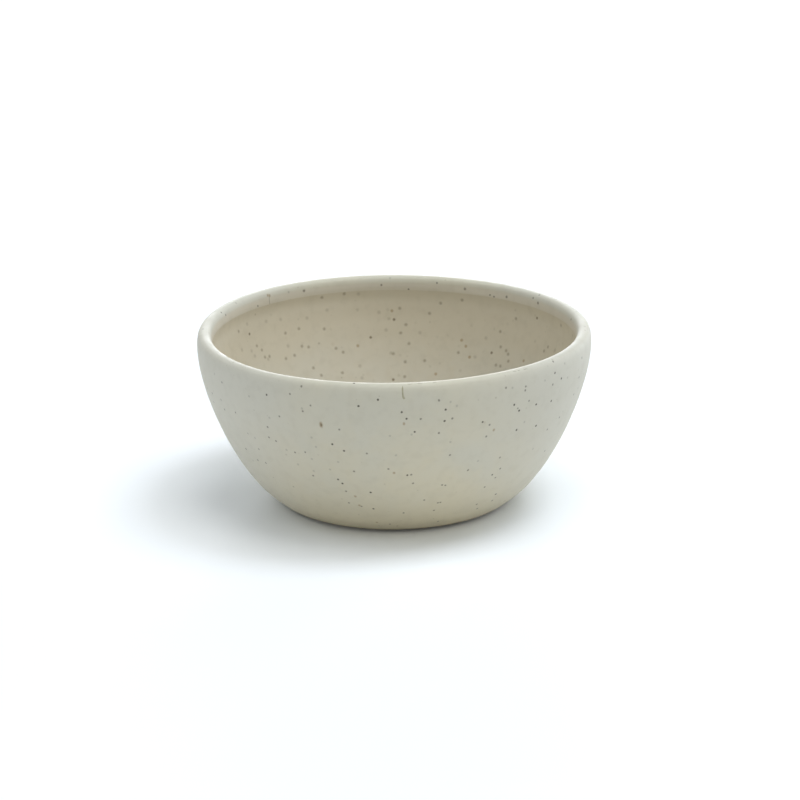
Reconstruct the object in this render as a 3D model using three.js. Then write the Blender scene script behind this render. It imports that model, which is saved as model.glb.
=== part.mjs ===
// A wheel-thrown stoneware snack bowl. The clay body has a low turned foot ring, a wall that swells
// to its widest just under the rim, and a soft flat lip with a slight bead inside. A liner glaze covers
// the inside. An outer glaze starts above the bare foot, rolls over the lip and ends at the crease
// under the bead, where it meets the liner.
// Millimetres, +Z up, with the origin at the centre of the foot, on the table.
import * as THREE from "three";

// Outside of the bowl, over the glaze
const BOWL_DIAMETER = 120;
const BOWL_HEIGHT = 53.7;
const HEEL_DIAMETER = 70.8; // where the glazed wall begins, just above the foot
const HEEL_ANGLE = 29; // degrees above level at which the wall leaves the heel
const HEEL_PULL = 15.6; // length of the curve's handle at the heel
const BELLY_PULL = 12.2; // length of the curve's handle below the widest line

// Wall and floor, over the glaze
const WALL_AT_LIP = 4.2;
const WALL_AT_HEEL = 5.8;
const FLOOR_THICKNESS = 5.2;
const FLOOR_RISE = 13; // height over which the floor turns up into the wall

// Lip, over the glaze
const LIP_DROP = 4.5; // from the crest down to the widest line outside
const LIP_DEPTH = 4.3; // from the crest down to the crease inside
const CREST_INSET = 2.3; // from the widest line in to the crest
const LIP_BEAD = 0.3; // how far the lip stands proud of the wall inside
const CREASE_HEIGHT = 2.6; // height over which the wall takes up its slope under the bead

// Foot ring
const FOOT_HEIGHT = 0.9; // bare clay between the table and the glaze
const FOOT_SETBACK = 1.8; // how far the wall overhangs the ring
const FOOT_WIDTH = 5;
const FOOT_RECESS = 2.4; // depth of the turned hollow inside the ring
const FOOT_EDGE = 0.4; // rounding of the ring's two edges
const RECESS_FILLET = 1.2;

const GLAZE_THICKNESS = 0.45;

// Facets: steps round the bowl, and along each curve of its section
const TURN_STEPS = 64;
const WALL_STEPS = 7;
const LIP_STEPS = 5; // on each side of the crest
const CREASE_STEPS = 2;
const FLOOR_STEPS = 5;
const EDGE_STEPS = 2;

const at = (radius, height) => new THREE.Vector2(radius, height);

// Radii and heights that follow from the sizes above
const bellyRadius = BOWL_DIAMETER / 2;
const bellyHeight = BOWL_HEIGHT - LIP_DROP;
const heelRadius = HEEL_DIAMETER / 2;
const footRadius = heelRadius - FOOT_SETBACK;
const footInnerRadius = footRadius - FOOT_WIDTH;
const floorHeight = FOOT_RECESS + FLOOR_THICKNESS;
const creaseRadius = bellyRadius - WALL_AT_LIP - LIP_BEAD;
const creaseHeight = BOWL_HEIGHT - LIP_DEPTH;
const crest = at(bellyRadius - CREST_INSET, BOWL_HEIGHT);

// The outside of the wall, from the heel up to the widest line
const heel = at(heelRadius, FOOT_HEIGHT);
const heelTurn = THREE.MathUtils.degToRad(HEEL_ANGLE);
const outerWall = new THREE.CubicBezierCurve(
  heel,
  at(heel.x + HEEL_PULL * Math.cos(heelTurn), heel.y + HEEL_PULL * Math.sin(heelTurn)),
  at(bellyRadius, bellyHeight - BELLY_PULL),
  at(bellyRadius, bellyHeight),
);

// The lip, from the widest line over the crest and down to the crease inside. The handles of its
// curves take this share of the rise and of the width, more than in an ellipse, so that the rim is
// nearly flat on top and turns down quickly on both sides.
const LIP_FULLNESS = 0.75;
const outerLip = new THREE.CubicBezierCurve(
  at(bellyRadius, bellyHeight),
  at(bellyRadius, bellyHeight + LIP_FULLNESS * LIP_DROP),
  at(crest.x + LIP_FULLNESS * CREST_INSET, crest.y),
  crest,
);
const innerLip = new THREE.CubicBezierCurve(
  crest,
  at(THREE.MathUtils.lerp(crest.x, creaseRadius, LIP_FULLNESS), crest.y),
  at(creaseRadius, creaseHeight + LIP_FULLNESS * LIP_DEPTH),
  at(creaseRadius, creaseHeight),
);

// A place on the glazed surface: its point, and the direction from there into the clay. Every
// curve here runs with the clay on its left.
function place(curve, t) {
  const travel = curve.getTangent(t);
  return { point: curve.getPoint(t), inward: at(-travel.y, travel.x) };
}

function places(curve, steps) {
  return Array.from({ length: steps + 1 }, (_, i) => place(curve, i / steps));
}

const moved = ({ point, inward }, distance) => point.clone().addScaledVector(inward, distance);

// A place on the inside of the wall, straight through the clay from the same place outside
function innerWallPlace(t) {
  const outside = place(outerWall, t);
  const thickness = THREE.MathUtils.lerp(WALL_AT_HEEL, WALL_AT_LIP, t);
  return { point: moved(outside, thickness), inward: outside.inward.clone().negate() };
}

// How far up the wall, from 0 to 1, its inside reaches a height
function wallShareAt(height) {
  let low = 0;
  let high = 1;
  for (let halving = 0; halving < 40; halving++) {
    const middle = (low + high) / 2;
    if (innerWallPlace(middle).point.y < height) low = middle;
    else high = middle;
  }
  return high;
}

const wallTop = wallShareAt(creaseHeight - CREASE_HEIGHT);
const wallFoot = wallShareAt(floorHeight + FLOOR_RISE);

// The crease, where the bead of the lip runs out into the wall
const wallTopPoint = innerWallPlace(wallTop).point;
const crease = new THREE.CubicBezierCurve(
  at(creaseRadius, creaseHeight),
  at(creaseRadius, creaseHeight - CREASE_HEIGHT / 2),
  wallTopPoint.clone().addScaledVector(outerWall.getTangent(wallTop), CREASE_HEIGHT / 2),
  wallTopPoint,
);

// The floor, from the foot of the wall to the middle of the bowl. Its handles point at the corner
// where the wall's own line would meet a level floor.
const HANDLE = 0.6;
const wallFootPoint = innerWallPlace(wallFoot).point;
const wallSlope = outerWall.getTangent(wallFoot);
const corner = at(wallFootPoint.x - (FLOOR_RISE * wallSlope.x) / wallSlope.y, floorHeight);
const floor = new THREE.CubicBezierCurve(
  wallFootPoint,
  wallFootPoint.clone().lerp(corner, HANDLE),
  at(corner.x * HANDLE, floorHeight),
  at(0, floorHeight),
);

// The glazed surface in two runs: up the outside and over the lip, then down the inside
const innerWall = Array.from({ length: WALL_STEPS - 1 }, (_, i) =>
  innerWallPlace(THREE.MathUtils.lerp(wallTop, wallFoot, (i + 1) / WALL_STEPS)),
);
const outerRun = [
  ...places(outerWall, WALL_STEPS),
  ...places(outerLip, LIP_STEPS).slice(1),
  ...places(innerLip, LIP_STEPS).slice(1),
];
const linerRun = [
  outerRun.at(-1),
  ...places(crease, CREASE_STEPS).slice(1),
  ...innerWall,
  ...places(floor, FLOOR_STEPS).slice(0, -1),
  { point: at(0, floorHeight), inward: at(0, -1) },
];

const surfaceOf = (run) => run.map(({ point }) => point);
const clayUnder = (run) => run.map((spot) => moved(spot, GLAZE_THICKNESS));

// The foot, from the middle of the hollow under the bowl out to the ring's outer side
function footProfile() {
  const fillet = Math.min(RECESS_FILLET, FOOT_RECESS - FOOT_EDGE);
  const right = 0;
  const up = Math.PI / 2;
  const left = Math.PI;
  const down = 1.5 * Math.PI;
  const quarter = (radius, height, size, from, to) =>
    new THREE.EllipseCurve(radius, height, size, size, from, to, to < from).getPoints(EDGE_STEPS);
  return [
    at(0, FOOT_RECESS),
    ...quarter(footInnerRadius - fillet, FOOT_RECESS - fillet, fillet, up, right),
    ...quarter(footInnerRadius + FOOT_EDGE, FOOT_EDGE, FOOT_EDGE, left, down),
    ...quarter(footRadius - FOOT_EDGE, FOOT_EDGE, FOOT_EDGE, down, 2 * Math.PI),
    at(footRadius, FOOT_HEIGHT),
  ];
}

const CLAY = { color: "#b7a68c", roughness: 0.9, metalness: 0 };
const LINER = { color: "#cbc3ae", roughness: 0.55, metalness: 0 };
const OUTER = { color: "#cccabc", roughness: 0.6, metalness: 0 };

function turned(name, profile, look) {
  const geometry = new THREE.LatheGeometry(profile, TURN_STEPS).rotateX(Math.PI / 2);
  const mesh = new THREE.Mesh(geometry, new THREE.MeshStandardMaterial(look));
  mesh.name = name;
  return mesh;
}

const clayOutside = clayUnder(outerRun);
const clayInside = clayUnder(linerRun);

const clayBody = [...footProfile(), ...clayOutside, ...clayInside.slice(1)];
const outerGlaze = [...surfaceOf(outerRun), ...clayOutside.toReversed(), heel];
const linerGlaze = [...clayInside.toReversed(), ...surfaceOf(linerRun)];

const bowl = new THREE.Group();
bowl.name = "snack_bowl";
bowl.add(
  turned("clay_body", clayBody, CLAY),
  turned("liner_glaze", linerGlaze, LINER),
  turned("outer_glaze", outerGlaze, OUTER),
);

export default bowl;
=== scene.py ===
"""A speckled stoneware snack bowl on a white sweep, seen a little from above.

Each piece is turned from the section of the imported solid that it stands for: the bare clay, the liner
glaze inside, and the outer glaze that rolls over the lip. Metres, +Z up, the bowl standing at the origin.
"""
import math
from collections import namedtuple

import bpy
import numpy as np
from mathutils import Matrix, Vector


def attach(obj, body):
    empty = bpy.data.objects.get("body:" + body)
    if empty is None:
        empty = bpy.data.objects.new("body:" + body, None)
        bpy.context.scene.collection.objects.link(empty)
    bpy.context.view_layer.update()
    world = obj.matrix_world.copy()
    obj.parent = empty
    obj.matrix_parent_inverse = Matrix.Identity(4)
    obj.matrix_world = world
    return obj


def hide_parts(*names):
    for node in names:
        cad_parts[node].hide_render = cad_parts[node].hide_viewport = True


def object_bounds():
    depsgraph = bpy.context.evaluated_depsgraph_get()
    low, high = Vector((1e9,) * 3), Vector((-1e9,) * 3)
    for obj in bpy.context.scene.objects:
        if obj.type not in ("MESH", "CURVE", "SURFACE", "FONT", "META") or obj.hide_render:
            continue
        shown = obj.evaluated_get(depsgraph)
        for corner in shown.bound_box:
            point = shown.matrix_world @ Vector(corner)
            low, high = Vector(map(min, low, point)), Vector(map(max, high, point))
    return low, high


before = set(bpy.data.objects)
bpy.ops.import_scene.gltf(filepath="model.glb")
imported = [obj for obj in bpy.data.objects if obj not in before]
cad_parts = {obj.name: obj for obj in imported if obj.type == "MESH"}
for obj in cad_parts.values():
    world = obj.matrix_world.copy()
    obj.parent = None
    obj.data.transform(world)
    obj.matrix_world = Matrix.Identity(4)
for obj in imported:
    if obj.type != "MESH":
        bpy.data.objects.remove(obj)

cad_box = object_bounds()
RIM = cad_box[1].z
WIDEST = cad_box[1].x
MM = 0.001
# Lengths that differ by less than this, or only beyond these decimals of a metre, are the same
NEAR = 1e-6
DECIMALS = 7

# The camera, fitted to the outline of the bowl in the photograph, from a distance that is a guess
IMAGE_SIZE = 800
CAMERA_TARGET = Vector((1.76, 0, 30.05)) * MM
CAMERA_DISTANCE = 950 * MM
CAMERA_ELEVATION = math.radians(17.89)
CAMERA_ROLL = math.radians(-0.59)
FOCAL_PIXELS = 3098
SENSOR_WIDTH = 36
CLIP_START = 10 * MM

# The mesh: steps round the bowl, and rings along a section as stretches of (end, spacing)
TURNS = 480
AROUND = np.linspace(-math.pi, math.pi, TURNS, endpoint=False)
OUTER_RINGS = ((3 * MM, 0.25 * MM), (55 * MM, 0.6 * MM), (math.inf, 0.22 * MM))
LINER_RINGS = ((math.inf, 0.55 * MM),)
RUN_RINGS = ((math.inf, 0.12 * MM),)
CLAY_SPACING = 0.3 * MM
SHARP_ANGLE = math.radians(50)

# Texture charts, in shares of a square: two bands for what shows, and a thin one for what is hidden
CHART_MARGIN = 0.005
SHOWN_BAND = 0.465
SHOWN_PITCH = 0.48
HIDDEN_BAND = 0.03
HIDDEN_LEVEL = 0.965
# Each disc: its middle, the same both ways, and its radius
SHOWN_DISC = (0.5, 0.49)
HIDDEN_DISC = (0.06, 0.05)

# The hand of the thrower, as heights above the plain turned surface and how they spread
# The swell is a sum of waves, each with at least 1 and fewer than 8 lobes to a turn.
SWELL = 0.035 * MM
SWELL_SIZE = 30 * MM
SWELL_WAVES = 14
SWELL_LOBES = (1, 8)
OUTER_THROW = 0.012 * MM
LINER_THROW = 0.03 * MM
THROW_PITCH = 7.5 * MM
THROW_CHANGE = 0.4
# The bead has risen at the first of these shares of its width, and falls from the second.
HEEL_BEAD = 0.16 * MM
HEEL_BEAD_WIDTH = 2.6 * MM
HEEL_BEAD_CREST = (0.3, 0.4)
HEEL_BEAD_CHANGE = 0.2
BUTTON = 0.25 * MM
BUTTON_RADIUS = 7 * MM
TRIM_DEPTH = 0.035 * MM
TRIM_PITCH = 1.5 * MM
FADE_LENGTH = 1.5 * MM
SEEDS = {"outer_swell": 3, "outer_throw": 4, "heel_bead": 5, "liner_swell": 7, "liner_throw": 8}
# How far the lip leaves the circle: evenly, then in waves of one, two, three and four to a turn
LIP_WAVES = (0.12 * MM, -0.29 * MM, 0.02 * MM, 0.47 * MM, -0.2 * MM)
LEAST_RADIUS = 5 * MM

# Marks in the glaze that stand out in the photograph, read off in its pixels from the upper left
DARK_SEEN = (
    (332.2, 444.2), (406.6, 418.8), (407.4, 475.2), (536.2, 404.4), (342.4, 483.4), (551.2, 401),
    (414.7, 431.9), (370.6, 492.5), (266.6, 394.8), (492.2, 474.8), (401.7, 412.2), (445.7, 409.6),
    (514.2, 404.8), (519.2, 410.6), (378, 399.8), (373.5, 508.8), (516.6, 429.9), (482.6, 422),
    (344, 450.8), (338, 479.4), (444.6, 421), (555, 373), (358.4, 406.1), (561.4, 378.4), (536, 425.8),
    (495.8, 494.2), (354, 383.2), (370.7, 337.4), (491.6, 352.8), (394, 319.5), (249.5, 334), (537, 318),
    (393.3, 379.6),
)
SOFT_SEEN = (
    (221.9, 382.3), (279.4, 416.4), (267.6, 427), (269, 437.4), (276, 441.1), (246, 448.9), (258.8, 449),
    (295, 452.4), (257.8, 460.1), (265.9, 463), (290, 394), (301.4, 386.4), (310.5, 405.5),
    (302.7, 411.2), (339.3, 429.6), (305.2, 452.2), (366.9, 453.5), (313.2, 475.7), (354, 471.4),
    (388.5, 469), (346, 491.2), (348.9, 502.8), (361.5, 506.3), (390, 524.2), (420.7, 419), (439, 400.4),
    (452.3, 418.5), (439, 433), (450, 455), (468.1, 470.1), (489.6, 424.8), (486.3, 436.4),
    (499.8, 457.6), (411.2, 474.7), (413.1, 483.3), (424.3, 500.1), (442.1, 484.9), (445.3, 485.3),
    (437.9, 502.8), (440.4, 502.4), (434, 510.3), (437.9, 521.4), (403.6, 512.9), (476.7, 504.3),
    (477.1, 508.6), (495.4, 477.6), (500.2, 468.6), (492.1, 500.6), (529, 400.8), (547.3, 429.5),
    (559.4, 417.3), (544.8, 451), (506, 387.8), (525.8, 386.4), (525.3, 390.4), (552.8, 384.5),
    (553.1, 361.5), (579, 377.3), (573.8, 394.3), (581.9, 357.8), (212.3, 393.3), (213.8, 402),
    (221, 399.8), (224.6, 409.5), (235.5, 412.6), (257.9, 306), (221.4, 312.6), (225.7, 315),
    (203.1, 329), (490, 295), (494, 296.7), (533.1, 297.9), (539.3, 295), (408.6, 289.4), (344.3, 293.8),
    (321.9, 297.4), (238.7, 331.4), (256.9, 345.9), (261.9, 350), (265, 357.1), (269.6, 356.4),
    (285.4, 333.1), (298.9, 328.6), (302, 346.2), (308.6, 347), (294.6, 355.4), (286, 358.6),
    (313.4, 367.9), (324.2, 328.9), (336, 348.4), (343.2, 352.2), (399.8, 308.2), (406, 324.6),
    (400.6, 332.9), (409, 343.6), (393.3, 353.7), (405.3, 361.8), (424.7, 360.6), (321.4, 375.3),
    (342.4, 372.7), (404.7, 376.6), (429.6, 313.4), (462.1, 300), (440.6, 303.2), (516, 318.6),
    (500.3, 331.6), (458.4, 352.6), (500.7, 346.9), (506.1, 350.7), (508.1, 354.2), (508.3, 361.1),
    (496, 365.1), (500.3, 366.1), (544, 351), (561, 325.4), (437, 283), (381.4, 285), (548, 347),
    (571, 319.4),
)
RUSTY_SEEN = (
    (404, 423.8), (394, 473), (355.3, 496.3), (359.4, 505.3), (376.9, 522.4), (493.8, 430),
    (357.9, 345.7), (461.6, 340.2), (465.9, 346.3), (469.6, 357.1), (391.9, 310.8), (523.6, 360.7),
    (435.8, 374), (267.8, 295.4), (269.6, 295.6),
)
LIP_SEEN = ((304, 290.8), (506.6, 296.9), (538, 303), (465, 288.9))
FAINT_SEEN = (
    (207.5, 388.3), (214.4, 373.9), (249, 396.3), (269.4, 417.8), (255, 437.9), (286.5, 449.8),
    (253.1, 460.5), (298.1, 464.3), (564.8, 363.5), (578, 388.1), (583.8, 373.8), (545, 380.5),
    (567.5, 377.5), (512.5, 387.8), (524.4, 422), (533, 448.8), (301.9, 408.5), (311.5, 437.5),
    (316, 446.9), (311.9, 459), (338.1, 461.9), (330, 469.4), (313.8, 471), (396, 455.4), (390, 435.9),
    (411.5, 434.6), (450.6, 402), (456.9, 405.9), (450.5, 441.9), (478, 461), (390, 278), (358.4, 294),
    (236, 303), (576, 311.6), (585, 326.4), (288.6, 292.1), (266.1, 321.4), (280.7, 319.4), (307, 318),
    (327, 310), (288, 346), (251.6, 351), (255, 356), (242, 350), (247, 324), (386, 330), (379, 312.4),
    (420, 332.6), (475, 357), (486, 338), (555, 350), (360, 366), (362, 378),
)
BLOT_SEEN = ((321.1, 424.8),)
# Fine dark lines in the lip, from end to end, as rows of small marks: several short ones in front, and a
# stain behind
FINE_LINES_SEEN = (
    ((524, 369.4), (527, 368.8)), ((518, 370.6), (519.4, 370.4)), ((513, 371.6), (516, 371.2)),
    ((433.6, 382.4), (436, 382.2)), ((418, 383.6), (422, 383.2)), ((408, 384.3), (412, 384)),
    ((269.2, 297), (270, 309)),
)
FINE_LINE_SPACING = 0.8
# The path of the glaze that ran down from the front of the lip
RUN_SEEN = ((402.6, 385.6), (402.6, 390), (402.8, 394), (403.3, 396.8), (404.2, 398.4), (405.2, 398.8))
RUN_WIDTH = 0.62 * MM
RUN_HEIGHT = 0.1 * MM
RUN_TIP = 0.02 * MM
RUN_SIDES = 10
# Shares of the run's length: where it has widened, where it swells to a drop, and where it closes
RUN_WIDENED = 0.25
RUN_SWELLS = (0.6, 0.9)
RUN_CLOSES = 0.9
# Shares of the run's width: above the drop, and what the drop adds
RUN_NECK = 0.75
RUN_DROP = 0.35

# Colours, linear
OUTER_COLOUR = (0.616, 0.579, 0.437)
OUTER_WARM = (0.623, 0.568, 0.398)
# Painted light: a lighter glaze near the heel, standing in for light thrown up from the floor
OUTER_HEEL_BOUNCE_LIGHT = (0.69, 0.63, 0.446)
OUTER_COOL = (0.59, 0.572, 0.457)
# Painted reflection: the glaze made cooler toward the left and right, for the sheen of white surroundings at
# grazing angles
OUTER_PAINTED_SIDE_SHEEN = (0.581, 0.572, 0.483)
LIP_INSIDE = (0.622, 0.577, 0.464)
LINER_COLOUR = (0.565, 0.526, 0.416)
LINER_WARM = (0.551, 0.491, 0.365)
LINER_COOL = (0.563, 0.534, 0.433)
LINER_HIGH = (0.592, 0.533, 0.398)
CLAY_COLOUR = (0.54, 0.46, 0.34)
CLAY_WARM = (0.48, 0.38, 0.26)
CLAY_COOL = (0.57, 0.50, 0.39)
IRON = (0.052, 0.043, 0.022)
UMBER = (0.17, 0.13, 0.07)
OLIVE = (0.24, 0.205, 0.115)
RUST = (0.32, 0.225, 0.105)
RUN_COLOUR = (0.41, 0.385, 0.26)

# Ramps of tone by place: from, to, and the share of the tone at each end
WARM_RAMP = (2 * MM, 30 * MM, 0.8, 0)
# Painted light: the lighter colour near the heel, for the floor's bounce
HEEL_BOUNCE_LIGHT_RAMP = (2 * MM, 10 * MM, 0.75, 0)
COOL_RAMP = (24 * MM, 50 * MM, 0, 0.6)
# Painted reflection: a cool sheen laid on toward the left and right sides
PAINTED_SIDE_SHEEN_RAMP = (15 * MM, 50 * MM, 0, 0.8)
LIP_RADIUS_RAMP = (WIDEST - 3.6 * MM, WIDEST - 3 * MM, 1, 0)
LIP_FOOT_RAMP = (RIM - 7.7 * MM, RIM - 6.2 * MM, 0, 1)
LIP_TOP_RAMP = (RIM - 2.7 * MM, RIM - 1.1 * MM, 1, 0)
LINER_HIGH_RAMP = (22 * MM, 42 * MM, 0, 0.85)
WORN_RAMP = (0.1 * MM, 0.6 * MM, 0.35, 0)
# Ramps of the share of dark grains, which gives way to the marks where the photograph shows them
OUTER_BEHIND_RAMP = (-15 * MM, 20 * MM, 0.01, 0.75)
OUTER_LIP_RAMP = (RIM - 6.7 * MM, RIM - 4.7 * MM, 1, 0)
LINER_NEAR_RAMP = (-15 * MM, 15 * MM, 0.75, 0.01)
LINER_LOW_RAMP = (12 * MM, 18 * MM, 0.6, 0.01)

# Noise in the finishes: its size, and the values between which a tone or a roughness changes
DRIFT_SIZE = 22 * MM
DRIFT_SPAN = (0.35, 0.65)
CLOUD_SIZE = 4 * MM
CLOUD_SPAN = (0.45, 0.8)
CLOUD_SHARE = 0.35
HAZE_SIZE = 3 * MM
HAZE_SPAN = (0.45, 0.75)
STREAK_SIZE = 0.7 * MM
STREAK_SPAN = (0.4, 0.8)
STREAK_SHARE = 0.3
CLAY_DRIFT_SIZE = 14 * MM
GRIT_SIZE = 0.6 * MM
GRIT_SPAN = (0.4, 0.75)
GRIT_SHARE = 0.6
SHEEN_SIZE = 5 * MM
SHEEN_SPAN = (0.3, 0.7)

# The touch of the finishes
OUTER_ROUGHNESS = (0.58, 0.7)
LINER_ROUGHNESS = (0.55, 0.68)
RUN_ROUGHNESS = (0.45, 0.6)
CLAY_ROUGHNESS = 0.92
GLAZE_GLOSS = 0.5
PEEL_SIZE = 1.6 * MM
PEEL_DEPTH = 0.05 * MM
PEEL_STRENGTH = 0.25
TOOTH_SIZE = 0.22 * MM
TOOTH_SHARE = 0.35
GRIT_DEPTH = 0.12 * MM
GRIT_STRENGTH = 0.5

# Iron: scatters of grains, and how each kind of mark seen shows in each glaze
Grains = namedtuple("Grains", "colour spacing radius share softness weak strong")
Mark = namedtuple("Mark", "kind colour strength radius softness stretch", defaults=(1,))
LEAST_GRAIN = 0.45
NOISE_MIDDLE = (0.5, 0.5, 0.5)
RAGGED_SIZE = 0.6 * MM
GLAZE_RAGGED = 0.3 * MM
CLAY_RAGGED = 0.35 * MM
OUTER_HAZE = 0.07
OUTER_MARKS = (
    Mark("rusty", RUST, strength=0.65, radius=0.38 * MM, softness=0.55, stretch=1.3),
    Mark("blot", RUST, strength=0.65, radius=0.55 * MM, softness=0.5, stretch=2),
    Mark("blot", UMBER, strength=0.8, radius=0.28 * MM, softness=0.6, stretch=2),
    Mark("faint", IRON, strength=0.26, radius=0.32 * MM, softness=0.6, stretch=1.1),
    Mark("soft", IRON, strength=0.62, radius=0.31 * MM, softness=0.5, stretch=1.1),
    Mark("lip", IRON, strength=0.64, radius=0.42 * MM, softness=0.65),
    Mark("fine_line", UMBER, strength=0.45, radius=0.14 * MM, softness=0.4),
    Mark("dark", IRON, strength=0.92, radius=0.33 * MM, softness=0.45),
)
LINER_HAZE = 0.09
LINER_MARKS = (
    Mark("rusty", RUST, strength=0.65, radius=0.5 * MM, softness=0.55),
    Mark("faint", UMBER, strength=0.27, radius=0.52 * MM, softness=0.8),
    Mark("soft", UMBER, strength=0.52, radius=0.48 * MM, softness=0.75),
    Mark("dark", UMBER, strength=0.85, radius=0.42 * MM, softness=0.6),
)
GROG = Grains(IRON, spacing=2.2 * MM, radius=0.34 * MM, share=0.8, softness=0.4, weak=0.4, strong=0.9)

# Light: a level of 1 shows a surface that faces it in its own colour
SKY_LEVEL = 0.34
LAMP_DISTANCE = 3
PLAIN_LIGHT = (1, 1, 1)
COOL_LIGHT = (0.96, 1, 1.07)
COLD_LIGHT = (0.94, 1, 1.12)
# Each lamp: degrees round from +X, degrees up, degrees across, level, colour
LAMPS = {
    "overhead": (-42, 83, 32, 0.295, PLAIN_LIGHT),
    "key": (12, 65, 24, 0.265, COLD_LIGHT),
    "front_right": (-45, 45, 32, 0.1, PLAIN_LIGHT),
    "left": (180, 45, 32, 0.078, COOL_LIGHT),
    "left_low": (180, 8, 24, 0.057, COOL_LIGHT),
    "backdrop": (90, 8, 24, 0.515, COOL_LIGHT),
    "backdrop_right": (45, 8, 24, 0.258, COLD_LIGHT),
}
# The floor, in the colour that it throws on the bowl and the colour that it is seen in
FLOOR_SIZE = 8
FLOOR_SIDES = 96
FLOOR_COLOUR = (0.93, 0.93, 0.93)
FLOOR_SEEN = (0.97, 1, 1)


# Reading the solids

def outline(node):
    """The section of a turned node, as (radius, height) points in order from its lowest end."""
    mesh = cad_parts[node].data
    points = {
        v.index: (round(-v.co.y, DECIMALS), round(v.co.z, DECIMALS))
        for v in mesh.vertices
        if abs(v.co.x) < NEAR and v.co.y < NEAR
    }
    links = {}
    for edge in mesh.edges:
        ends = [points.get(i) for i in edge.vertices]
        if None not in ends and ends[0] != ends[1]:
            for here, there in (ends, ends[::-1]):
                links.setdefault(here, set()).add(there)
    loose_ends = [p for p in links if len(links[p]) == 1]
    ordered = [min(loose_ends or links, key=lambda p: p[1])]
    while True:
        onward = [p for p in links[ordered[-1]] if p not in ordered]
        if not onward:
            return ordered
        # A closed section goes up its outer side first.
        ordered.append(max(onward))


def parted(section, neighbour):
    """Splits a section at its first point on the neighbour's: what shows, and what lies against the clay."""
    seam = next(i for i, point in enumerate(section) if point in neighbour)
    return np.array(section[: seam + 1]), np.array(section[seam + 1 :])


# Building meshes

def lengths_along(points):
    """How far along a line of points each of them is."""
    return np.concatenate(([0], np.cumsum(np.linalg.norm(np.diff(points, axis=0), axis=1))))


def smooth_run(points, stretches):
    """A smooth curve through the points, with rings spaced as the stretches say."""
    along = lengths_along(points)
    wanted = [0.0]
    for end, spacing in stretches:
        start, end = wanted[-1], min(end, along[-1])
        wanted += list(np.linspace(start, end, max(2, round((end - start) / spacing) + 1))[1:])
    wanted = np.array(wanted)
    slopes = np.gradient(points, along, axis=0, edge_order=2)
    i = np.clip(np.searchsorted(along, wanted, side="right") - 1, 0, len(points) - 2)
    length = np.diff(along)[i][:, None]
    t = (wanted - along[i])[:, None] / length
    return (
        points[i] * (1 + 2 * t) * (1 - t) ** 2
        + slopes[i] * length * t * (1 - t) ** 2
        + points[i + 1] * t ** 2 * (3 - 2 * t)
        + slopes[i + 1] * length * t ** 2 * (t - 1)
    )


def step(value, low, high):
    """0 up to low, 1 from high on, and a smooth rise between them."""
    share = np.clip((value - low) / (high - low), 0, 1)
    return share * share * (3 - 2 * share)


def uneven(along, seed):
    """A slow swell over the surface, mostly within 1 either way, that meets itself after a full turn."""
    draw = np.random.default_rng(seed)
    total = np.zeros((len(along), TURNS))
    for _ in range(SWELL_WAVES):
        turns = draw.integers(*SWELL_LOBES)
        slope = draw.uniform(-2 * math.pi, 2 * math.pi) / SWELL_SIZE
        total += np.cos(turns * AROUND + slope * along + draw.uniform(0, 2 * math.pi))
    return total / math.sqrt(SWELL_WAVES)


def varied(along, seed, change):
    """A strength that wanders over the surface, by about the change either way."""
    return 1 - change + change * uneven(along, seed)


def throwing(along, seed):
    """The spiral that fingers leave in clay as it turns on the wheel."""
    spiral = np.sin(2 * math.pi * along / THROW_PITCH + AROUND)
    return spiral * varied(along, seed, THROW_CHANGE)


def out_of_round(places):
    """Pushes points off the true circle, most at the lip and hardly at all at the foot."""
    around = np.arctan2(places[:, 1], places[:, 0])
    push = sum(size * np.cos(waves * around) for waves, size in enumerate(LIP_WAVES))
    # Near the axis the push is eased, so that the middle of the floor isn't pinched.
    radius = np.maximum(np.hypot(places[:, 0], places[:, 1]), LEAST_RADIUS)
    places[:, :2] *= (1 + push / radius * (places[:, 2] / RIM) ** 2)[:, None]


def strip_chart(shown, share, turn, ahead):
    """Texture places in two half turns, one above the other, with the hidden side in a thin band on top."""
    half = TURNS // 2
    side = turn // half
    across = (turn - side * half + ahead) / half
    if shown:
        u = CHART_MARGIN + (1 - 2 * CHART_MARGIN) * across
        v = CHART_MARGIN + SHOWN_BAND * share + SHOWN_PITCH * side
    else:
        u = CHART_MARGIN + (0.5 - 2 * CHART_MARGIN) * across + side / 2
        v = np.full(len(turn), HIDDEN_LEVEL + HIDDEN_BAND * share)
    return u, v


def disc_chart(shown, share, turn, ahead):
    """Texture places on a disc, with the hidden side on a small disc in a corner."""
    angle = 2 * math.pi * (turn + ahead) / TURNS
    middle, size = SHOWN_DISC if shown else HIDDEN_DISC
    return middle + size * share * np.cos(angle), middle + size * share * np.sin(angle)


def ring_places(rings, shown, way, relief):
    """The points of each ring, a single one at the axis, with the relief on the rings that show."""
    tangent = np.gradient(shown, axis=0)
    normal = way * np.stack((tangent[:, 1], -tangent[:, 0]), axis=1)
    normal /= np.linalg.norm(normal, axis=1)[:, None]
    radius = np.repeat(rings[:, :1], TURNS, axis=1)
    height = np.repeat(rings[:, 1:], TURNS, axis=1)
    radius[: len(shown)] += normal[:, :1] * relief
    height[: len(shown)] += normal[:, 1:] * relief
    places = []
    for k, plain_radius in enumerate(rings[:, 0]):
        if plain_radius < NEAR:
            places.append([[0, 0, height[k].mean()]])
        else:
            ring = (radius[k] * np.cos(AROUND), radius[k] * np.sin(AROUND), height[k])
            places.append(np.stack(ring, axis=1))
    places = np.concatenate(places)
    out_of_round(places)
    return places


def ring_corners(first, at_axis, share):
    """The corners that faces have on a ring: point numbers, share of the chart, and steps on round it."""
    if at_axis:
        return [(np.full(TURNS, first), share, 0.5)]
    turn = np.arange(TURNS)
    return [(first + turn, share, 0), (first + (turn + 1) % TURNS, share, 1)]


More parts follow.
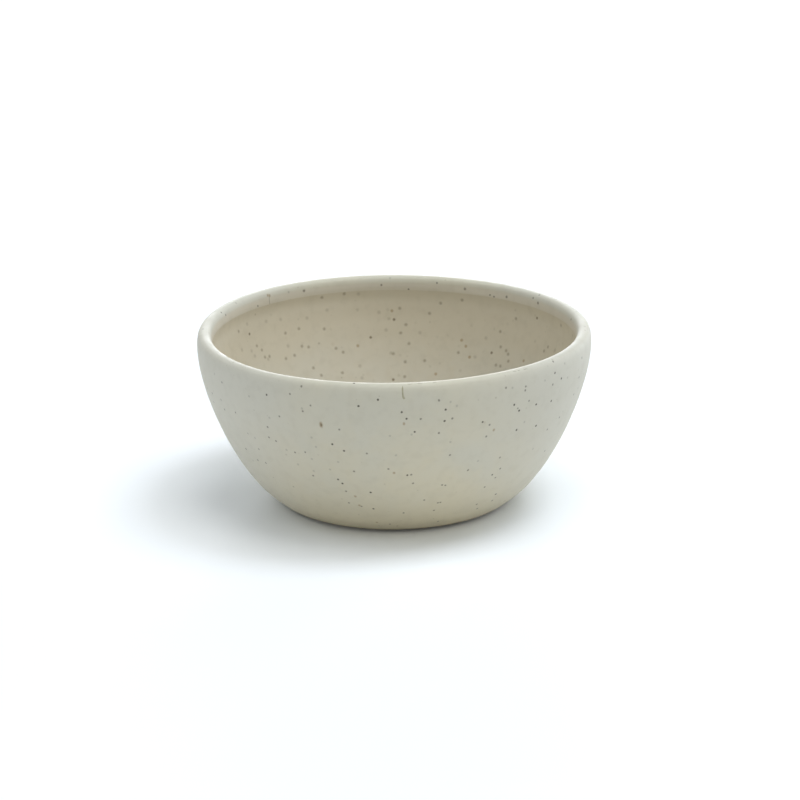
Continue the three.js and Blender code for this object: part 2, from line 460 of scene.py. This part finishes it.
def band_faces(rings, shown_count, way, chart, closed):
    """The faces between each ring and the next, and the places of their corners in the texture chart."""
    at_axis = rings[:, 0] < NEAR
    first = np.concatenate(([0], np.cumsum(np.where(at_axis, 1, TURNS))))
    bands = [(k, (k + 1) % len(rings)) for k in range(len(rings) if closed else len(rings) - 1)]
    visible = np.array([high < shown_count and low < high for low, high in bands])
    steps = np.array([np.linalg.norm(rings[high] - rings[low]) for low, high in bands])
    turn = np.arange(TURNS)
    faces, charted = [], []
    for (low, high), seen in zip(bands, visible):
        group = steps * (visible == seen)
        share_low = group[:low].sum() / group.sum()
        share_high = share_low + group[low] / group.sum()
        # A disc has its middle at the end of the run that is nearer the axis.
        ends = [rings[k][0] for k in range(len(bands)) if visible[k] == seen]
        if chart is disc_chart and ends[0] > ends[-1]:
            share_low, share_high = 1 - share_low, 1 - share_high
        corners = ring_corners(first[low], at_axis[low], share_low)
        corners += ring_corners(first[high], at_axis[high], share_high)[::-1]
        corners = corners[::way]
        faces += np.stack([numbers for numbers, _, _ in corners], axis=1).tolist()
        spots = [np.stack(chart(seen, share, turn, ahead), axis=1) for _, share, ahead in corners]
        charted.append(np.stack(spots, axis=1).reshape(-1, 2))
    return faces, np.concatenate(charted)


def turned(name, shown, bed, relief, chart, closed=False):
    """A body of revolution from the run of rings that shows and the run that lies against the clay."""
    rings = np.concatenate((shown, bed))
    onward = np.roll(rings, -1, axis=0)
    # The way that the section goes round tells which side of it is outside.
    way = int(np.sign(np.sum(rings[:, 0] * onward[:, 1] - onward[:, 0] * rings[:, 1])))
    places = ring_places(rings, shown, way, relief)
    faces, charted = band_faces(rings, len(shown), way, chart, closed)
    return solid(name, places.tolist(), faces, charted)


def solid(name, places, faces, charted=None):
    """A smooth mesh object, with texture places where they are given."""
    mesh = bpy.data.meshes.new(name)
    mesh.from_pydata(places, [], faces)
    mesh.polygons.foreach_set("use_smooth", [True] * len(mesh.polygons))
    mesh.set_sharp_from_angle(angle=SHARP_ANGLE)
    if charted is not None:
        mesh.uv_layers.new(name="OFBake").data.foreach_set("uv", charted.astype(np.float32).ravel())
    piece = bpy.data.objects.new(name, mesh)
    bpy.context.collection.objects.link(piece)
    return piece


# The camera and what it sees

def camera_axes():
    """Right, up and ahead of the camera."""
    ahead = Vector((0, math.cos(CAMERA_ELEVATION), -math.sin(CAMERA_ELEVATION)))
    level = Vector((1, 0, 0))
    rise = level.cross(ahead)
    right = math.cos(CAMERA_ROLL) * level + math.sin(CAMERA_ROLL) * rise
    return right, right.cross(ahead), ahead


def camera():
    """The camera that takes the photograph's view."""
    right, rise, ahead = camera_axes()
    lens = bpy.data.cameras.new("camera")
    lens.sensor_width = SENSOR_WIDTH
    lens.lens = FOCAL_PIXELS * SENSOR_WIDTH / IMAGE_SIZE
    lens.clip_start = CLIP_START
    holder = bpy.data.objects.new("camera", lens)
    turn = Matrix((right, rise, -ahead)).transposed().to_4x4()
    holder.matrix_world = Matrix.Translation(CAMERA_TARGET - ahead * CAMERA_DISTANCE) @ turn
    bpy.context.collection.objects.link(holder)
    bpy.context.scene.camera = holder


def seen_at(pixel, pieces):
    """The piece that the photograph shows at a pixel, and where on it."""
    right, rise, ahead = camera_axes()
    across, down = (v - IMAGE_SIZE / 2 for v in pixel)
    eye = CAMERA_TARGET - ahead * CAMERA_DISTANCE
    look = (ahead + (right * across - rise * down) / FOCAL_PIXELS).normalized()
    hits = []
    for piece in pieces:
        found, place, _, _ = piece.ray_cast(eye, look)
        if found:
            hits.append(((place - eye).length, piece, place))
    return min(hits, key=lambda hit: hit[0])[1:]


# Materials

class Tree:
    """Adds nodes to a node tree. An input that is a socket is linked, and any other is set."""

    # The Mix node's sockets when it mixes colours: the share and the two colours, then the result
    MIX_INPUTS = (0, 6, 7)
    MIX_OUTPUT = 2

    def __init__(self, owner):
        owner.use_nodes = True
        self.tree = owner.node_tree
        self.tree.nodes.clear()

    def put(self, socket, value):
        if isinstance(value, bpy.types.NodeSocket):
            self.tree.links.new(value, socket)
        elif socket.type == "RGBA":
            socket.default_value = (*value, 1)
        else:
            socket.default_value = value

    def add(self, kind, inputs=None, **settings):
        node = self.tree.nodes.new(kind)
        for name, value in settings.items():
            setattr(node, name, value)
        for name, value in (inputs or {}).items():
            self.put(node.inputs[name], value)
        return node

    def axes(self, where):
        return self.add("ShaderNodeSeparateXYZ", {0: where}).outputs

    def maths(self, operation, a, b=0.0):
        return self.add("ShaderNodeMath", {0: a, 1: b}, operation=operation).outputs[0]

    def times(self, a, b):
        return self.maths("MULTIPLY", a, b)

    def vectors(self, operation, *inputs):
        return self.add("ShaderNodeVectorMath", dict(enumerate(inputs)), operation=operation).outputs

    def ramp(self, value, low, high, to_low=0.0, to_high=1.0):
        ends = {"Value": value, "From Min": low, "From Max": high, "To Min": to_low, "To Max": to_high}
        return self.add("ShaderNodeMapRange", ends, interpolation_type="SMOOTHSTEP").outputs["Result"]

    def noise(self, where, size, detail=2.0):
        return self.add("ShaderNodeTexNoise", {"Vector": where, "Scale": 1 / size, "Detail": detail}).outputs

    def mix(self, share, a, b):
        inputs = dict(zip(self.MIX_INPUTS, (share, a, b)))
        return self.add("ShaderNodeMix", inputs, data_type="RGBA").outputs[self.MIX_OUTPUT]

    def bump(self, height, strength, depth):
        inputs = {"Height": height, "Strength": strength, "Distance": depth}
        return self.add("ShaderNodeBump", inputs).outputs[0]

    def surface(self, **inputs):
        """Ends the tree in a principled surface. An input's name has underscores for spaces."""
        named = {name.replace("_", " "): value for name, value in inputs.items()}
        shader = self.add("ShaderNodeBsdfPrincipled", named)
        self.add("ShaderNodeOutputMaterial", {"Surface": shader.outputs[0]})


def new_finish(name):
    """A material, its tree, and the place on the piece that is being coloured."""
    material = bpy.data.materials.new(name)
    t = Tree(material)
    return material, t, t.add("ShaderNodeTexCoord").outputs["Object"]


def ragged(t, where, reach):
    """The same places with a fine unevenness, so that a grain isn't a clean circle."""
    push = t.vectors("SUBTRACT", t.noise(where, RAGGED_SIZE)["Color"], NOISE_MIDDLE)["Vector"]
    return t.vectors("MULTIPLY_ADD", push, (reach, reach, reach), where)["Vector"]


def grains(t, where, kind):
    """How strong a scatter of grains is at each place, and a random number for each grain."""
    scatter = t.add("ShaderNodeTexVoronoi", {"Vector": where, "Scale": 1 / kind.spacing}).outputs
    chance = t.add("ShaderNodeSeparateColor", {"Color": scatter["Color"]}).outputs
    largest = kind.radius / kind.spacing
    size = t.ramp(chance["Green"], 0, 1, LEAST_GRAIN * largest, largest)
    kept = t.maths("LESS_THAN", chance["Red"], kind.share)
    inner, outer = t.times(size, 1 - kind.softness), t.times(size, 1 + kind.softness)
    return t.times(t.ramp(scatter["Distance"], inner, outer, 1, 0), kept), chance["Blue"]


def marked(t, where, places, mark):
    """1 at the places given, fading out at their edges. A stretched mark is longer from top to bottom."""
    squash = (1, 1, 1 / mark.stretch)
    where = t.vectors("MULTIPLY", where, squash)["Vector"]
    nearest = None
    for place in places:
        gap = t.vectors("DISTANCE", where, [a * b for a, b in zip(place, squash)])["Value"]
        nearest = t.maths("MINIMUM", nearest, gap) if nearest else gap
    return t.ramp(nearest, mark.radius * (1 - mark.softness), mark.radius * (1 + mark.softness), 1, 0)


def speckled(t, where, shade, haze, scatters, marks, seen):
    """Lays the iron in a glaze over its colour: a faint haze, scatters of grains, then the marks seen."""
    rough = ragged(t, where, GLAZE_RAGGED)
    cloud = t.noise(where, HAZE_SIZE, detail=4)["Fac"]
    shade = t.mix(t.ramp(cloud, *HAZE_SPAN, 0, haze), shade, OLIVE)
    for kind in scatters:
        strength, chance = grains(t, rough, kind)
        faded = t.ramp(t.times(chance, chance), 0, 1, kind.weak, kind.strong)
        shade = t.mix(t.times(strength, faded), shade, kind.colour)
    for mark in marks:
        if seen[mark.kind]:
            share = t.times(marked(t, rough, seen[mark.kind], mark), mark.strength)
            shade = t.mix(share, shade, mark.colour)
    return shade


def glazed(t, where, shade, roughness):
    """A matte glaze surface: soft peel, fine tooth and a roughness that drifts."""
    cloud = t.noise(where, SHEEN_SIZE, detail=3)["Fac"]
    peel = t.noise(where, PEEL_SIZE, detail=3)["Fac"]
    tooth = t.noise(where, TOOTH_SIZE)["Fac"]
    relief = t.maths("ADD", peel, t.times(tooth, TOOTH_SHARE))
    t.surface(
        Base_Color=shade,
        Roughness=t.ramp(cloud, *SHEEN_SPAN, *roughness),
        Specular_IOR_Level=GLAZE_GLOSS,
        Normal=t.bump(relief, PEEL_STRENGTH, PEEL_DEPTH),
    )


def mottled(t, where, cool, plain, warm):
    """Slow drifts of tone, with small warm clouds."""
    drift = t.noise(where, DRIFT_SIZE)["Fac"]
    cloud = t.noise(where, CLOUD_SIZE, detail=3)["Fac"]
    shade = t.mix(t.ramp(drift, *DRIFT_SPAN), cool, plain)
    return t.mix(t.ramp(cloud, *CLOUD_SPAN, 0, CLOUD_SHARE), shade, warm)


def inside_lip(t, spot):
    """1 on the inner side of the lip, between the seam with the liner and the crest."""
    radius = t.maths("SQRT", t.maths("ADD", t.times(spot["X"], spot["X"]), t.times(spot["Y"], spot["Y"])))
    high = t.times(t.ramp(spot["Z"], *LIP_FOOT_RAMP), t.ramp(spot["Z"], *LIP_TOP_RAMP))
    return t.times(t.ramp(radius, *LIP_RADIUS_RAMP), high)


def outer_glaze(seen):
    """The oatmeal glaze outside: warm low down, cooler toward the lip, with painted light at the heel and
    painted sheen at the sides.
    """
    material, t, where = new_finish("outer_glaze")
    spot = t.axes(where)
    shade = mottled(t, where, OUTER_COOL, OUTER_COLOUR, OUTER_WARM)
    shade = t.mix(t.ramp(spot["Z"], *WARM_RAMP), shade, OUTER_WARM)
    # Painted light near the heel, for light thrown up from the floor
    shade = t.mix(t.ramp(spot["Z"], *HEEL_BOUNCE_LIGHT_RAMP), shade, OUTER_HEEL_BOUNCE_LIGHT)
    shade = t.mix(t.ramp(spot["Z"], *COOL_RAMP), shade, OUTER_COOL)
    # Painted reflection: cooler toward the left and right, where the view grazes the wall
    shade = t.mix(t.ramp(t.maths("ABSOLUTE", spot["X"]), *PAINTED_SIDE_SHEEN_RAMP), shade, OUTER_PAINTED_SIDE_SHEEN)
    shade = t.mix(inside_lip(t, spot), shade, LIP_INSIDE)
    fewer = t.times(t.ramp(spot["Y"], *OUTER_BEHIND_RAMP), t.ramp(spot["Z"], *OUTER_LIP_RAMP))
    scatters = (
        Grains(OLIVE, spacing=3.2 * MM, radius=0.3 * MM, share=0.7, softness=0.6, weak=0.12, strong=0.55),
        Grains(RUST, spacing=8 * MM, radius=0.5 * MM, share=0.35, softness=0.7, weak=0.1, strong=0.25),
        Grains(IRON, spacing=2.4 * MM, radius=0.34 * MM, share=fewer, softness=0.4, weak=0.35, strong=0.95),
    )
    shade = speckled(t, where, shade, OUTER_HAZE, scatters, OUTER_MARKS, seen)
    glazed(t, where, shade, OUTER_ROUGHNESS)
    return material


def liner_glaze(seen):
    """The warmer glaze inside, where the iron bleeds into larger, softer spots."""
    material, t, where = new_finish("liner_glaze")
    spot = t.axes(where)
    shade = mottled(t, where, LINER_COOL, LINER_COLOUR, LINER_WARM)
    shade = t.mix(t.ramp(spot["Z"], *LINER_HIGH_RAMP), shade, LINER_HIGH)
    fewer = t.maths("MAXIMUM", t.ramp(spot["Y"], *LINER_NEAR_RAMP), t.ramp(spot["Z"], *LINER_LOW_RAMP))
    scatters = (
        Grains(OLIVE, spacing=3.4 * MM, radius=0.52 * MM, share=0.7, softness=0.7, weak=0.1, strong=0.45),
        Grains(RUST, spacing=7 * MM, radius=0.6 * MM, share=0.4, softness=0.8, weak=0.08, strong=0.25),
        Grains(UMBER, spacing=3 * MM, radius=0.48 * MM, share=fewer, softness=0.6, weak=0.3, strong=0.85),
    )
    shade = speckled(t, where, shade, LINER_HAZE, scatters, LINER_MARKS, seen)
    glazed(t, where, shade, LINER_ROUGHNESS)
    return material


def run_glaze():
    """The brown streak where iron ran down with the glaze."""
    material, t, where = new_finish("glaze_run")
    streak = t.noise(where, STREAK_SIZE, detail=3)["Fac"]
    shade = t.mix(t.ramp(streak, *STREAK_SPAN, 0, STREAK_SHARE), RUN_COLOUR, OLIVE)
    glazed(t, where, shade, RUN_ROUGHNESS)
    return material


def bare_clay():
    """Unglazed stoneware: buff, dry and gritty, with dark grog, and paler where the foot ring is worn."""
    material, t, where = new_finish("bare_clay")
    drift = t.noise(where, CLAY_DRIFT_SIZE)["Fac"]
    grit = t.noise(where, GRIT_SIZE, detail=4)["Fac"]
    shade = t.mix(t.ramp(drift, *DRIFT_SPAN), CLAY_COOL, CLAY_COLOUR)
    shade = t.mix(t.ramp(grit, *GRIT_SPAN, 0, GRIT_SHARE), shade, CLAY_WARM)
    shade = t.mix(t.ramp(t.axes(where)["Z"], *WORN_RAMP), shade, CLAY_COOL)
    dark, chance = grains(t, ragged(t, where, CLAY_RAGGED), GROG)
    shade = t.mix(t.times(dark, t.ramp(chance, 0, 1, GROG.weak, GROG.strong)), shade, GROG.colour)
    t.surface(Base_Color=shade, Roughness=CLAY_ROUGHNESS, Normal=t.bump(grit, GRIT_STRENGTH, GRIT_DEPTH))
    return material


# The bowl

def outer_coat(section, liner_section):
    """The glaze from above the foot, up the outside, over the lip and down to the liner."""
    shown, bed = parted(section, liner_section)
    shown = smooth_run(shown, OUTER_RINGS)
    along = lengths_along(shown)[:, None]
    fade = step(along, 0, FADE_LENGTH) * step(along[-1] - along, 0, FADE_LENGTH)
    swell = SWELL * uneven(along, SEEDS["outer_swell"])
    relief = fade * (swell + OUTER_THROW * throwing(along, SEEDS["outer_throw"]))
    risen, falling = (share * HEEL_BEAD_WIDTH for share in HEEL_BEAD_CREST)
    bead = step(along, 0, risen) * (1 - step(along, falling, HEEL_BEAD_WIDTH))
    relief += HEEL_BEAD * bead * varied(along, SEEDS["heel_bead"], HEEL_BEAD_CHANGE)
    return turned("outer_glaze_coat", shown, bed, relief, strip_chart, closed=True)


def liner_coat(section, outer_section):
    """The glaze inside, from the middle of the floor up to the outer glaze."""
    shown, bed = parted(section[::-1], outer_section)
    shown = smooth_run(shown, LINER_RINGS)
    along = lengths_along(shown)[:, None]
    fade = step(along[-1] - along, 0, FADE_LENGTH) * step(along, 0, BUTTON_RADIUS)
    swell = SWELL * uneven(along, SEEDS["liner_swell"])
    relief = fade * (swell + LINER_THROW * throwing(along, SEEDS["liner_throw"]))
    relief += BUTTON * np.exp(-((along / BUTTON_RADIUS) ** 2))
    return turned("liner_glaze_coat", shown, bed, relief, disc_chart)


def clay_body(section, outer_section):
    """The clay, with trimming grooves in the level part of the hollow under the foot."""
    corners, bed = parted(section, outer_section)
    shown = [corners[0]]
    for start, end in zip(corners[:-1], corners[1:]):
        count = max(1, round(float(np.linalg.norm(end - start)) / CLAY_SPACING))
        shown += [start + (end - start) * k / count for k in range(1, count + 1)]
    shown = np.array(shown)
    along = lengths_along(shown)[:, None]
    # Where the hollow stops being level and turns down to the foot ring
    level = along[np.argmax(shown[:, 1] < shown[0, 1] - NEAR)]
    groove = np.sin(2 * math.pi * along / TRIM_PITCH + AROUND) * step(along, 0, 2 * TRIM_PITCH)
    relief = TRIM_DEPTH * groove * (1 - step(along, level - TRIM_PITCH, level))
    return turned("stoneware_body", shown, bed, relief, disc_chart)


def fine_lines():
    """The pixels of the fine lines in the lip, as rows of marks."""
    rows = []
    for start, end in np.array(FINE_LINES_SEEN):
        count = math.ceil(np.linalg.norm(end - start) / FINE_LINE_SPACING)
        rows += [tuple(start + (end - start) * k / count) for k in range(count + 1)]
    return rows


def glaze_run(wall):
    """A thin bead of glaze that ran a little way down the front from the lip."""
    path = np.array([seen_at(pixel, [wall])[1] for pixel in RUN_SEEN])
    path = smooth_run(path, RUN_RINGS)
    spine = [wall.closest_point_on_mesh(Vector(p))[1:3] for p in path]
    share = np.linspace(0, 1, len(spine))
    taper = np.minimum(step(share, 0, RUN_WIDENED), 1 - step(share, RUN_CLOSES, 1))
    width = RUN_WIDTH / 2 * taper ** 0.5
    width *= RUN_NECK + RUN_DROP * step(share, *RUN_SWELLS)
    places, faces = [], []
    for k, (place, normal) in enumerate(spine):
        ahead = spine[min(k + 1, len(spine) - 1)][0] - spine[max(k - 1, 0)][0]
        side = ahead.cross(normal).normalized()
        reach = max(width[k], RUN_TIP)
        for j in range(RUN_SIDES):
            angle = 2 * math.pi * j / RUN_SIDES
            lift = math.sin(angle) * RUN_HEIGHT * reach / RUN_WIDTH * 2
            places.append(place + side * math.cos(angle) * reach + normal * lift)
    last = (len(spine) - 1) * RUN_SIDES
    for here in range(0, last, RUN_SIDES):
        there = here + RUN_SIDES
        for j in range(RUN_SIDES):
            onward = (j + 1) % RUN_SIDES
            faces.append((here + j, here + onward, there + onward, there + j))
    faces += [tuple(range(RUN_SIDES))[::-1], tuple(range(last, last + RUN_SIDES))]
    return solid("glaze_run", places, faces)


def settle(piece, material, node=None):
    """Gives a piece its finish, and makes it stand for its node."""
    piece.data.materials.append(material)
    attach(piece, "root")
    if node:
        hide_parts(node)


def marks_on(pieces):
    """Where the marks in the photograph fall on each piece, by kind."""
    kinds = {
        "dark": DARK_SEEN,
        "soft": SOFT_SEEN,
        "faint": FAINT_SEEN,
        "rusty": RUSTY_SEEN,
        "lip": LIP_SEEN,
        "blot": BLOT_SEEN,
        "fine_line": fine_lines(),
    }
    seen = {piece: {kind: [] for kind in kinds} for piece in pieces}
    for kind, pixels in kinds.items():
        for pixel in pixels:
            piece, place = seen_at(pixel, pieces)
            seen[piece][kind].append(place)
    return seen


def bowl():
    """The clay body, its two coats of glaze, and the run."""
    outer_section, liner_section = outline("outer_glaze"), outline("liner_glaze")
    outer = outer_coat(outer_section, liner_section)
    liner = liner_coat(liner_section, outer_section)
    clay = clay_body(outline("clay_body"), outer_section)
    bpy.context.view_layer.update()
    seen = marks_on((outer, liner))
    run = glaze_run(outer)
    settle(outer, outer_glaze(seen[outer]), "outer_glaze")
    settle(liner, liner_glaze(seen[liner]), "liner_glaze")
    settle(clay, bare_clay(), "clay_body")
    settle(run, run_glaze())


# The stage

def seen_directly(t):
    """1 for a ray that shows the background itself, and 0 for one that only carries light."""
    path = t.add("ShaderNodeLightPath").outputs
    share = t.maths("MAXIMUM", path["Is Camera Ray"], path["Is Glossy Ray"])
    return t.maths("MAXIMUM", share, path["Is Transmission Ray"])


def sweep():
    """A pale floor that reads as white where nothing shades it, and keeps the bowl's shadow."""
    bpy.ops.mesh.primitive_circle_add(vertices=FLOOR_SIDES, radius=FLOOR_SIZE / 2, fill_type="NGON")
    floor = bpy.context.object
    floor.name = "sweep"
    material = bpy.data.materials.new("sweep")
    t = Tree(material)
    plain = t.add("ShaderNodeBsdfDiffuse", {"Color": FLOOR_COLOUR}).outputs[0]
    pale = t.add("ShaderNodeBsdfDiffuse", {"Color": FLOOR_SEEN}).outputs[0]
    both = t.add("ShaderNodeMixShader", {0: seen_directly(t), 1: plain, 2: pale})
    t.add("ShaderNodeOutputMaterial", {"Surface": both.outputs[0]})
    floor.data.materials.append(material)


def sky():
    """A cool, even light from all round. Seen directly, it is plain white."""
    world = bpy.data.worlds.new("studio")
    bpy.context.scene.world = world
    t = Tree(world)
    direct = seen_directly(t)
    strength = t.ramp(direct, 0, 1, SKY_LEVEL, 1)
    tint = t.mix(direct, COOL_LIGHT, PLAIN_LIGHT)
    light = t.add("ShaderNodeBackground", {"Color": tint, "Strength": strength})
    t.add("ShaderNodeOutputWorld", {"Surface": light.outputs[0]})


def lamps():
    """Large soft lamps round the bowl, with the power that lights a surface facing them to their level."""
    for name, (around, up, across, level, colour) in LAMPS.items():
        around, up = math.radians(around), math.radians(up)
        toward = Vector((math.cos(up) * math.cos(around), math.cos(up) * math.sin(around), math.sin(up)))
        lamp = bpy.data.lights.new(name, "AREA")
        lamp.shape = "DISK"
        lamp.color = colour
        lamp.size = 2 * LAMP_DISTANCE * math.tan(math.radians(across / 2))
        lamp.energy = level * math.pi ** 2 * (LAMP_DISTANCE ** 2 + lamp.size ** 2 / 4)
        holder = bpy.data.objects.new(name, lamp)
        holder.location = toward * LAMP_DISTANCE
        holder.rotation_euler = toward.to_track_quat("Z", "Y").to_euler()
        holder.visible_camera = False
        bpy.context.collection.objects.link(holder)


bowl()
sweep()
sky()
lamps()
camera()
bpy.context.scene.view_settings.view_transform = "Standard"
